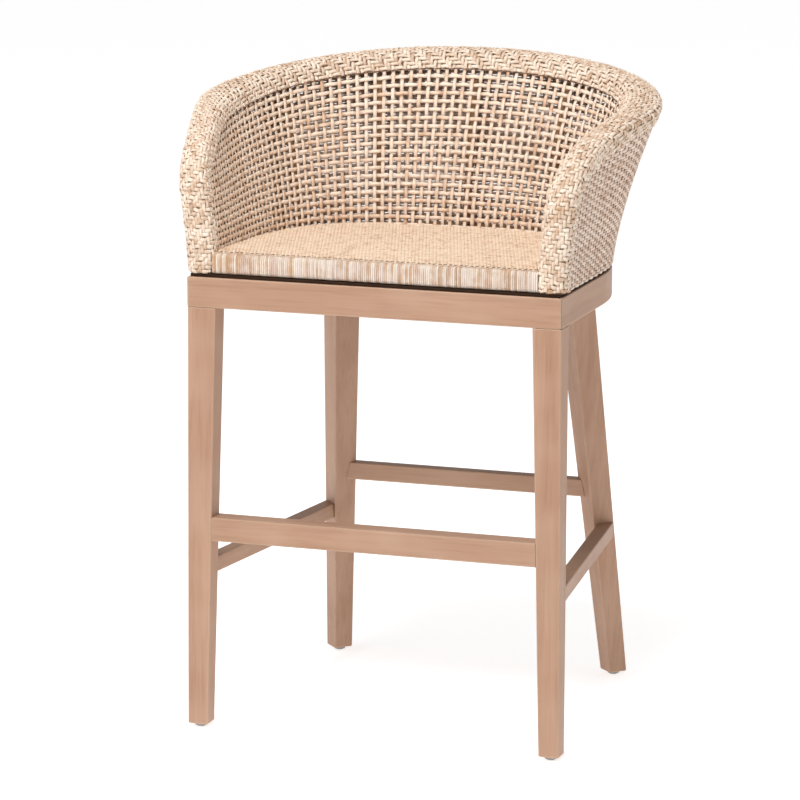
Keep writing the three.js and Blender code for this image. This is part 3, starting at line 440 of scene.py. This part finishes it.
def rattan(name, light, middle, deep, age=0.5, spread=0.3, gloom=0.4, lilac=0.0):
    """Peeled rattan: a tone for each strand, fibres along it, and painted shade where it dives under.
    spread is how far the strands' tones differ, and lilac how grey some of them are."""
    finish = bpy.data.materials.new(name)
    finish.use_nodes = True
    tree = finish.node_tree
    link = tree.links.new
    shader = tree.nodes["Principled BSDF"]
    tint = add_node(tree, "ShaderNodeAttribute", attribute_name="tint")
    along = add_node(tree, "ShaderNodeAttribute", attribute_name="along")
    across = add_node(tree, "ShaderNodeAttribute", attribute_name="across")
    place = add_node(tree, "ShaderNodeTexCoord")
    patch = add_node(tree, "ShaderNodeTexNoise")
    patch.inputs["Scale"].default_value = 75.0
    patch.inputs["Detail"].default_value = 4.0
    link(place.outputs["Object"], patch.inputs["Vector"])
    own = add_node(tree, "ShaderNodeMath", operation="MULTIPLY_ADD")
    own.inputs[1].default_value = spread
    own.inputs[2].default_value = -0.5 * spread
    link(tint.outputs["Fac"], own.inputs[0])
    total = add_node(tree, "ShaderNodeMath", operation="ADD")
    link(own.outputs["Value"], total.inputs[0])
    link(patch.outputs["Fac"], total.inputs[1])
    tone = add_node(tree, "ShaderNodeValToRGB")
    stops = tone.color_ramp.elements
    stops[0].position = 0.22
    stops[0].color = (*deep, 1)
    stops[1].position = 0.74
    stops[1].color = (*light, 1)
    stops.new(0.46).color = (*middle, 1)
    link(total.outputs["Value"], tone.inputs["Fac"])
    # fibres run the strand's length
    far = add_node(tree, "ShaderNodeMath", operation="MULTIPLY")
    far.inputs[1].default_value = 55.0
    link(along.outputs["Fac"], far.inputs[0])
    wide = add_node(tree, "ShaderNodeMath", operation="MULTIPLY")
    wide.inputs[1].default_value = 26.0
    link(across.outputs["Fac"], wide.inputs[0])
    apart = add_node(tree, "ShaderNodeMath", operation="MULTIPLY")
    apart.inputs[1].default_value = 91.0
    link(tint.outputs["Fac"], apart.inputs[0])
    fibre_place = add_node(tree, "ShaderNodeCombineXYZ")
    link(far.outputs["Value"], fibre_place.inputs["X"])
    link(wide.outputs["Value"], fibre_place.inputs["Y"])
    link(apart.outputs["Value"], fibre_place.inputs["Z"])
    fibre = add_node(tree, "ShaderNodeTexNoise")
    fibre.inputs["Scale"].default_value = 1.0
    fibre.inputs["Detail"].default_value = 2.0
    link(fibre_place.outputs["Vector"], fibre.inputs["Vector"])
    shade = add_node(tree, "ShaderNodeMapRange")
    shade.inputs["From Min"].default_value = 0.3
    shade.inputs["From Max"].default_value = 0.7
    shade.inputs["To Min"].default_value = 1.0 - 0.5 * age
    shade.inputs["To Max"].default_value = 1.08
    link(fibre.outputs["Fac"], shade.inputs["Value"])
    # painted shade: the strand is darkened down to gloom where dip says it dives under, as shade falls in
    # the crevices
    dip = add_node(tree, "ShaderNodeAttribute", attribute_name="dip")
    under = add_node(tree, "ShaderNodeMapRange")
    under.inputs["From Min"].default_value = 0.35
    under.inputs["To Min"].default_value = 1.0
    under.inputs["To Max"].default_value = gloom
    link(dip.outputs["Fac"], under.inputs["Value"])
    both = add_node(tree, "ShaderNodeMath", operation="MULTIPLY")
    link(shade.outputs["Result"], both.inputs[0])
    link(under.outputs["Result"], both.inputs[1])
    odd = add_node(tree, "ShaderNodeTexWhiteNoise", noise_dimensions="1D")
    link(apart.outputs["Value"], odd.inputs["W"])
    greyed = add_node(tree, "ShaderNodeMapRange")
    greyed.inputs["From Min"].default_value = 0.55
    greyed.inputs["To Max"].default_value = lilac
    link(odd.outputs["Value"], greyed.inputs["Value"])
    hue = add_node(tree, "ShaderNodeMix", data_type="RGBA")
    hue.inputs["B"].default_value = (0.70, 0.60, 0.60, 1)
    link(greyed.outputs["Result"], hue.inputs["Factor"])
    link(tone.outputs["Color"], hue.inputs["A"])
    toned = add_node(tree, "ShaderNodeVectorMath", operation="SCALE")
    link(hue.outputs["Result"], toned.inputs[0])
    link(both.outputs["Value"], toned.inputs["Scale"])
    link(toned.outputs["Vector"], shader.inputs["Base Color"])
    sheen = add_node(tree, "ShaderNodeMapRange")
    sheen.inputs["To Min"].default_value = 0.45
    sheen.inputs["To Max"].default_value = 0.7
    link(fibre.outputs["Fac"], sheen.inputs["Value"])
    link(sheen.outputs["Result"], shader.inputs["Roughness"])
    relief = add_node(tree, "ShaderNodeBump")
    relief.inputs["Strength"].default_value = 0.35
    relief.inputs["Distance"].default_value = 0.0004
    link(fibre.outputs["Fac"], relief.inputs["Height"])
    link(relief.outputs["Normal"], shader.inputs["Normal"])
    return finish


wall_rattan = rattan("wall_rattan", (0.96, 0.78, 0.63), (0.89, 0.68, 0.52), (0.68, 0.42, 0.26), gloom=0.7)
chance = np.random.default_rng(7)


def woven_wall(depth, low, top_gap, columns, rows, sway):
    """Stake and weaver paths of a plain weave on one face of the wall."""
    tuck = 0.022
    seen = 1 if depth > 0.5 else -1
    stakes = []
    ways = np.linspace(-1, 1, columns + 1)
    for c, way in enumerate(ways):
        run = (1 - abs(way)) * HALF_RUN
        if run < tuck:
            continue
        roof_z = roof(run, tuck)
        whole = crest(run) - top_gap - low
        count = int(rows * 3 * min(1.0, (roof_z - low) / whole)) + 1
        v = np.linspace(0, rows * (roof_z - low) / whole, max(count, 6))
        z = low + v / rows * whole
        wave = -np.cos(math.pi * (v + c))
        lift = sway * wave + chance.normal(0, 0.00012, len(v))
        here, out = around(np.full(len(v), way), z, depth, lift)
        stakes.append((here, out, chance.random(), 0.5 - 0.5 * seen * wave))
    weavers = []
    for r in range(rows + 1):
        u = np.linspace(0, columns, columns * 3 + 1)
        way = u / columns * 2 - 1
        run = (1 - np.abs(way)) * HALF_RUN
        z = low + r / rows * (crest(run) - top_gap - low)
        wave = np.cos(math.pi * (r + u))
        lift = sway * wave + chance.normal(0, 0.00012, len(u))
        keep = (run >= tuck) & (z <= roof(run, tuck))
        if keep.sum() < 6:
            continue
        uneven = chance.normal(0, 0.0003, keep.sum())
        here, out = around(way[keep], z[keep] + uneven, depth, lift[keep])
        weavers.append((here, out, chance.random(), (0.5 - 0.5 * seen * wave)[keep]))
    return stakes, weavers


stakes, weavers = woven_wall(0.0, SEAT_TOP - 0.008, 0.026, 94, 19, 0.0009)
inner_stakes = strands("tub_inner_stakes", stakes, 0.0064, 0.0012, wall_rattan)
inner_weavers = strands("tub_inner_weavers", weavers, 0.0067, 0.0012, wall_rattan)
for piece in (inner_stakes, inner_weavers):
    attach(piece, "root")
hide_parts("tub_inner_weave")


# ---------------------------------------------------------------- outer wall of the tub
# Closer and finer than the inside: narrow weavers packed down on the stakes, from the base
# hoop to the band, with painted shade making a dark slit wherever one dives behind a stake.

outer_rattan = rattan("outer_rattan", (0.88, 0.71, 0.59), (0.77, 0.58, 0.46), (0.56, 0.35, 0.23), gloom=0.42)
stakes, weavers = woven_wall(1.0, TUB_BASE + 0.0028, 0.0, 108, 46, 0.0011)
outer_stakes = strands("tub_outer_stakes", stakes, 0.0078, 0.0013, outer_rattan)
outer_weavers = strands("tub_outer_weavers", weavers, 0.0060, 0.0013, outer_rattan)
for piece in (outer_stakes, outer_weavers):
    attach(piece, "root")
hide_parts("tub_outer_weave")


# ---------------------------------------------------------------- woven band over arms and rim
# Thick peeled rattan woven tight over the rim pole, up one arm, round the back and down
# the other. The solid band is coloured near-black as painted shade between its strands.

band_rattan = rattan("band_rattan", (0.93, 0.79, 0.65), (0.80, 0.62, 0.48), (0.57, 0.36, 0.22), 0.6,
                     gloom=0.56)
# painted shade: the solid band under the strands is coloured near-black to stand for the shade between them
band_painted_shade = plain_finish("band_painted_shade", (0.20, 0.10, 0.05), (0.10, 0.05, 0.025), 120, (0.6, 0.8))
dress("tub_edge_band", band_painted_shade)
BAND_DEEP = 0.0275
BAND_PROUD = 0.0012
BAND_CAP = 0.012
BAND_ACROSS = 0.050


def band_section():
    """Half round the band, from outside to inside: how deep below the rim, and wall depth."""
    turn = np.linspace(0, math.pi, 41)
    cap = BAND_CAP * (1 - np.sin(turn) ** 0.8)
    down = np.linspace(BAND_DEEP, BAND_CAP, 9)
    deep = np.concatenate([down[:-1], cap, down[::-1][1:]])
    depth = np.concatenate([np.ones(8), 0.5 + 0.5 * np.cos(turn), np.zeros(8)])
    size = np.hypot(np.diff(deep), BAND_ACROSS * np.diff(depth))
    share = np.concatenate([[0], np.cumsum(size)])
    return share / share[-1], deep, depth


band_share, band_deep, band_depth = band_section()


def on_band(travel, share, lift):
    """Band points. travel is -1 at the left foot, 0 in the middle of the back, 1 at the right."""

    def spot(travel, share):
        t = (1 - np.abs(travel)) * RIM_TRAVEL
        deep = np.interp(share, band_share, band_deep)
        depth = np.interp(share, band_share, band_depth)
        run = np.interp(t, rim_travel, rim_run) + deep * np.interp(t, rim_travel, rim_in_run)
        z = np.interp(t, rim_travel, rim_z) + deep * np.interp(t, rim_travel, rim_in_z)
        return wall(run, z, depth)

    side = np.where(travel < 0, -1.0, 1.0)
    here = spot(travel, share)
    size = np.abs(travel)
    along = spot(np.clip(size - 0.004, 0, 1), share) - spot(np.clip(size + 0.004, 0, 1), share)
    over = spot(travel, np.clip(share + 0.02, 0, 1)) - spot(travel, np.clip(share - 0.02, 0, 1))
    out = np.cross(over, along)
    out /= np.linalg.norm(out, axis=-1, keepdims=True) + 1e-12
    out *= -1
    here = here + out * np.asarray(lift)[..., None]
    here[..., 0] *= side
    out[..., 0] *= side
    return here, out


BAND_TURNS = 270
BAND_LINES = 16
BAND_SWAY = 0.0019
BAND_END = 1 - 0.0034 / RIM_TRAVEL
turns = []
for k in range(BAND_TURNS + 1):
    travel = BAND_END * (k / BAND_TURNS * 2 - 1)
    v = np.linspace(0, BAND_LINES, BAND_LINES * 3 + 1)
    wave = -np.cos(math.pi / 2 * (k - v + 0.5) - math.pi / 4)
    lift = BAND_PROUD + BAND_SWAY * wave + chance.normal(0, 0.0003, len(v))
    drift = np.convolve(chance.normal(0, 0.0022, len(v) + 6), np.ones(7) / 7, "valid")
    here, out = on_band(np.clip(travel + drift, -1, 1), v / BAND_LINES, lift)
    turns.append((here, out, chance.random(), 0.5 - 0.5 * wave))
lines = []
for r in range(BAND_LINES):
    u = np.linspace(0, BAND_TURNS, BAND_TURNS * 3 + 1)
    wave = np.cos(math.pi / 2 * (u - r) - math.pi / 4)
    lift = BAND_PROUD + BAND_SWAY * wave + chance.normal(0, 0.0003, len(u))
    drift = np.convolve(chance.normal(0, 0.014, len(u) + 8), np.ones(9) / 9, "valid")
    here, out = on_band(BAND_END * (u / BAND_TURNS * 2 - 1), (r + 0.5) / BAND_LINES + drift, lift)
    lines.append((here, out, chance.random(), 0.5 - 0.5 * wave))
band_turns = strands("tub_band_turns", turns, 0.0061, 0.0027, band_rattan)
band_lines = strands("tub_band_lines", lines, 0.0058, 0.0027, band_rattan)
for piece in (band_turns, band_lines):
    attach(piece, "root")


# ---------------------------------------------------------------- seat
# Fine flat cane in a two-over, two-under twill, stretched over the seat panel and carried
# to the front edge. It dips a little towards the back.

seat_cane = rattan("seat_cane", (0.92, 0.74, 0.57), (0.86, 0.65, 0.48), (0.64, 0.41, 0.25), 0.5, gloom=0.66)
SEAT_PITCH = 0.0042
SEAT_BACK = SEAT_STRAIGHT + SEAT_BOW
SEAT_INSET = 0.001
SEAT_DIP = 0.008
DIP_FROM = 0.0373
SEAT_LIFT = 0.0006
SEAT_SWAY = 0.0008


def seat_half(y):
    """Half the seat's width at a distance from the front."""
    t = np.clip((y - SEAT_STRAIGHT) / SEAT_BOW, 0, 1)
    return (SEAT_HALF - SEAT_INSET) * (1 - t**SEAT_ROUND) ** (1 / SEAT_ROUND)


def seat_reach(x):
    """How far back the seat goes at a distance from the middle."""
    t = np.clip(np.abs(x) / (SEAT_HALF - SEAT_INSET), 0, 1)
    return SEAT_STRAIGHT + (SEAT_BOW - SEAT_INSET) * (1 - t**SEAT_ROUND) ** (1 / SEAT_ROUND)


def seat_height(y):
    back = np.clip((y - DIP_FROM) / (SEAT_BACK - DIP_FROM), 0, 1)
    return SEAT_TOP + SEAT_LIFT - SEAT_DIP * back


first_y = TUB_FRONT + 0.005
lengthwise = int((SEAT_BACK - first_y) / SEAT_PITCH)
seat_side = SEAT_HALF - SEAT_INSET
crosswise = int(2 * seat_side / SEAT_PITCH)
across_strands = []
for r in range(lengthwise):
    y = first_y + (r + 0.5) * SEAT_PITCH
    half = seat_half(y)
    c = np.arange(crosswise + 1)
    x = c * SEAT_PITCH - seat_side
    keep = np.abs(x) <= half
    if keep.sum() < 6:
        continue
    wave = np.cos(math.pi / 2 * (c - r) - math.pi / 4)[keep]
    n = keep.sum()
    here = np.stack([x[keep], np.full(n, y + BACK_SHIFT), seat_height(y) + SEAT_SWAY * wave], -1)
    across_strands.append((here, np.tile([0.0, 0.0, 1.0], (n, 1)), chance.random(), 0.5 - 0.5 * wave))
down_strands = []
for c in range(crosswise):
    x = (c + 0.5) * SEAT_PITCH - seat_side
    r = np.arange(lengthwise + 1)
    y = first_y + r * SEAT_PITCH
    keep = y <= seat_reach(x)
    if keep.sum() < 6:
        continue
    wave = -np.cos(math.pi / 2 * (c + 1 - r) - math.pi / 4)[keep]
    n = keep.sum()
    here = np.stack([np.full(n, x), y[keep] + BACK_SHIFT, seat_height(y[keep]) + SEAT_SWAY * wave], -1)
    down_strands.append((here, np.tile([0.0, 0.0, 1.0], (n, 1)), chance.random(), 0.5 - 0.5 * wave))
seat_across = strands("seat_cane_across", across_strands, 0.0043, 0.0013, seat_cane)
seat_down = strands("seat_cane_down", down_strands, 0.0043, 0.0013, seat_cane)
for piece in (seat_across, seat_down):
    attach(piece, "root")
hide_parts("seat_weave")


# ---------------------------------------------------------------- wrapped front edge
# Peel of mixed tones wound side by side round the seat's front rail.

wrap_peel = rattan("wrap_peel", (0.86, 0.74, 0.63), (0.74, 0.56, 0.43), (0.60, 0.36, 0.20), 0.7,
                   spread=0.6, lilac=0.45)
WRAP_PITCH = 0.0032
wrap_low, wrap_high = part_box("seat_front_wrap")
WRAP_CORNER = 0.006
wraps = []
wrap_count = int((wrap_high[0] - wrap_low[0]) / WRAP_PITCH)
turn = np.linspace(0, math.pi / 2, 5)
mid_y = (wrap_low[1] + wrap_high[1]) / 2
mid_z = (wrap_low[2] + wrap_high[2]) / 2
half_y = (wrap_high[1] - wrap_low[1]) / 2 - WRAP_CORNER - 0.0004
half_z = (wrap_high[2] - wrap_low[2]) / 2 - WRAP_CORNER - 0.0006
ring_y, ring_z, out_y, out_z = [], [], [], []
for quarter, (sy, sz) in enumerate([(1, 1), (-1, 1), (-1, -1), (1, -1)]):
    angle = turn + quarter * math.pi / 2
    ring_y += list(mid_y + sy * half_y + WRAP_CORNER * np.cos(angle))
    ring_z += list(mid_z + sz * half_z + WRAP_CORNER * np.sin(angle))
    out_y += list(np.cos(angle))
    out_z += list(np.sin(angle))
for k in range(wrap_count):
    x = wrap_low[0] + (k + 0.5) * (wrap_high[0] - wrap_low[0]) / wrap_count
    n = len(ring_y)
    push = chance.normal(0, 0.0002)
    here = np.stack([np.full(n, x), np.array(ring_y) + push * np.array(out_y), np.array(ring_z)], -1)
    out = np.stack([np.zeros(n), out_y, out_z], -1)
    wraps.append((here, out, chance.random(), 0.0))
front_wrap = strands("seat_front_peel", wraps, 0.0033, 0.0015, wrap_peel, closed=True)
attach(front_wrap, "root")
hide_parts("seat_front_wrap")

# small dark stitches hold the cane down along the edge
stitch_thread = rattan("stitch_thread", (0.24, 0.12, 0.06), (0.15, 0.07, 0.035), (0.08, 0.035, 0.015), 0.5)
STITCHES = 62
STITCH_HALF = 0.0028
stitches = []
for k in range(STITCHES):
    x = wrap_low[0] + (k + 0.5) * (wrap_high[0] - wrap_low[0]) / STITCHES
    lean = np.linspace(-STITCH_HALF, STITCH_HALF, 5)
    y = first_y + BACK_SHIFT + 0.0018 + 0.25 * lean
    z = SEAT_TOP + 0.0016 + 0.0004 * np.cos(lean / STITCH_HALF * math.pi / 2)
    here = np.stack([x + lean, y, z], -1)
    stitches.append((here, np.tile([0.0, 0.0, 1.0], (5, 1)), chance.random(), 0.0))
seat_stitches = strands("seat_stitches", stitches, 0.0016, 0.0012, stitch_thread)
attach(seat_stitches, "root")


# ---------------------------------------------------------------- studio
# A plain pale floor that runs to the horizon under soft light, and the camera.

ground = bpy.data.meshes.new("studio_floor")
ground.from_pydata([(-30, -30, 0), (30, -30, 0), (30, 30, 0), (-30, 30, 0)], [], [(0, 1, 2, 3)])
floor = bpy.data.objects.new("studio_floor", ground)
bpy.context.scene.collection.objects.link(floor)
pale = bpy.data.materials.new("pale_floor")
pale.use_nodes = True
pale.node_tree.nodes["Principled BSDF"].inputs["Base Color"].default_value = (0.92, 0.92, 0.92, 1)
pale.node_tree.nodes["Principled BSDF"].inputs["Roughness"].default_value = 0.9
pale.node_tree.nodes["Principled BSDF"].inputs["Emission Color"].default_value = (1, 1, 1, 1)
pale.node_tree.nodes["Principled BSDF"].inputs["Emission Strength"].default_value = 0.62
ground.materials.append(pale)

sky = bpy.data.worlds.new("studio")
sky.use_nodes = True
sky.node_tree.nodes["Background"].inputs["Color"].default_value = (1, 1, 1, 1)
way = add_node(sky.node_tree, "ShaderNodeTexCoord")
height = add_node(sky.node_tree, "ShaderNodeSeparateXYZ")
fade = add_node(sky.node_tree, "ShaderNodeMapRange")
fade.inputs["From Min"].default_value = 0.12
fade.inputs["From Max"].default_value = 0.42
fade.inputs["To Min"].default_value = 0.92
fade.inputs["To Max"].default_value = 0.33
sky.node_tree.links.new(way.outputs["Generated"], height.inputs["Vector"])
sky.node_tree.links.new(height.outputs["Z"], fade.inputs["Value"])
sky.node_tree.links.new(fade.outputs["Result"], sky.node_tree.nodes["Background"].inputs["Strength"])
bpy.context.scene.world = sky


def soft_light(name, place, aim, size, power):
    lamp = bpy.data.lights.new(name, "AREA")
    lamp.shape = "SQUARE"
    lamp.size = size
    lamp.energy = power
    holder = bpy.data.objects.new(name, lamp)
    holder.location = place
    holder.rotation_euler = (Vector(aim) - Vector(place)).to_track_quat("-Z", "Y").to_euler()
    bpy.context.scene.collection.objects.link(holder)


soft_light("key", (-0.1, -1.6, 3.7), (0, 0, 0.7), 1.5, 106)
soft_light("fill", (-2.8, -2.2, 1.8), (0, 0, 0.6), 2.2, 12)

YAW = math.radians(19.05)
PITCH = math.radians(11.59)
lens = bpy.data.cameras.new("camera")
lens.sensor_width = 36
lens.lens = 186.02
lens.clip_end = 100
camera = bpy.data.objects.new("camera", lens)
camera.location = (2.0153, -5.7066 + BACK_SHIFT, 1.7737)
camera.rotation_euler = Euler((math.pi / 2 - PITCH, 0, YAW))
bpy.context.scene.collection.objects.link(camera)
bpy.context.scene.camera = camera
bpy.context.scene.view_settings.view_transform = "Standard"
